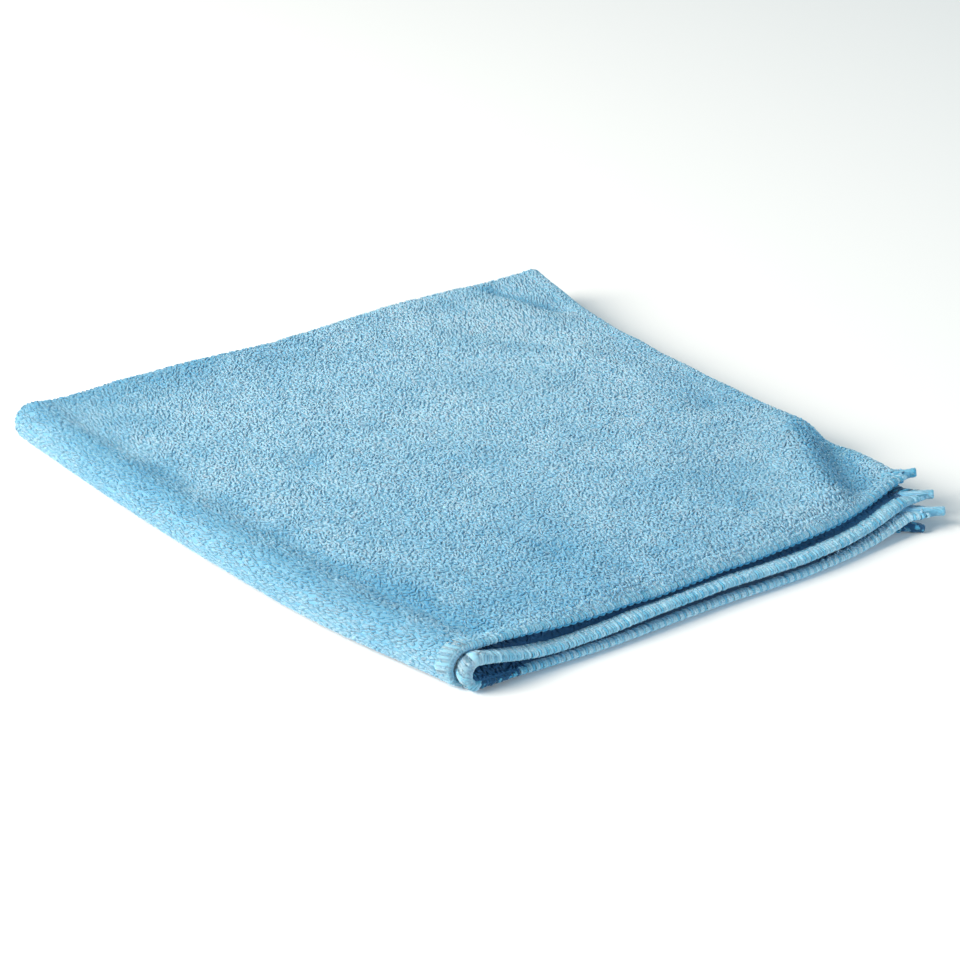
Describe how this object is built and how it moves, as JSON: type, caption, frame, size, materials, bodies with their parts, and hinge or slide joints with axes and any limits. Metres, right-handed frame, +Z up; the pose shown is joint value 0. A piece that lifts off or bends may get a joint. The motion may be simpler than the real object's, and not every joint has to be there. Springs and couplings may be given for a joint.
{
  "type": "folded microfibre cloth",
  "caption": "Light blue microfibre cleaning cloth, folded in quarters and lying flat, with overlocked edges and a short thread tail at each corner.",
  "frame": {"origin": "on the table, under the middle of the folded stack's outline", "axes": "+Z up through the plies; +X from the nested fold towards the open right edges; +Y from the open front edges towards the stacked fold at the back"},
  "size_m": [0.2048, 0.2264, 0.0139],
  "materials": {
    "microfibre": "matt looped microfibre pile, light blue, with a thread-wrapped edge of the same colour"
  },
  "bodies": {
    "root": {"cloth": "microfibre"}
  },
  "joints": []
}
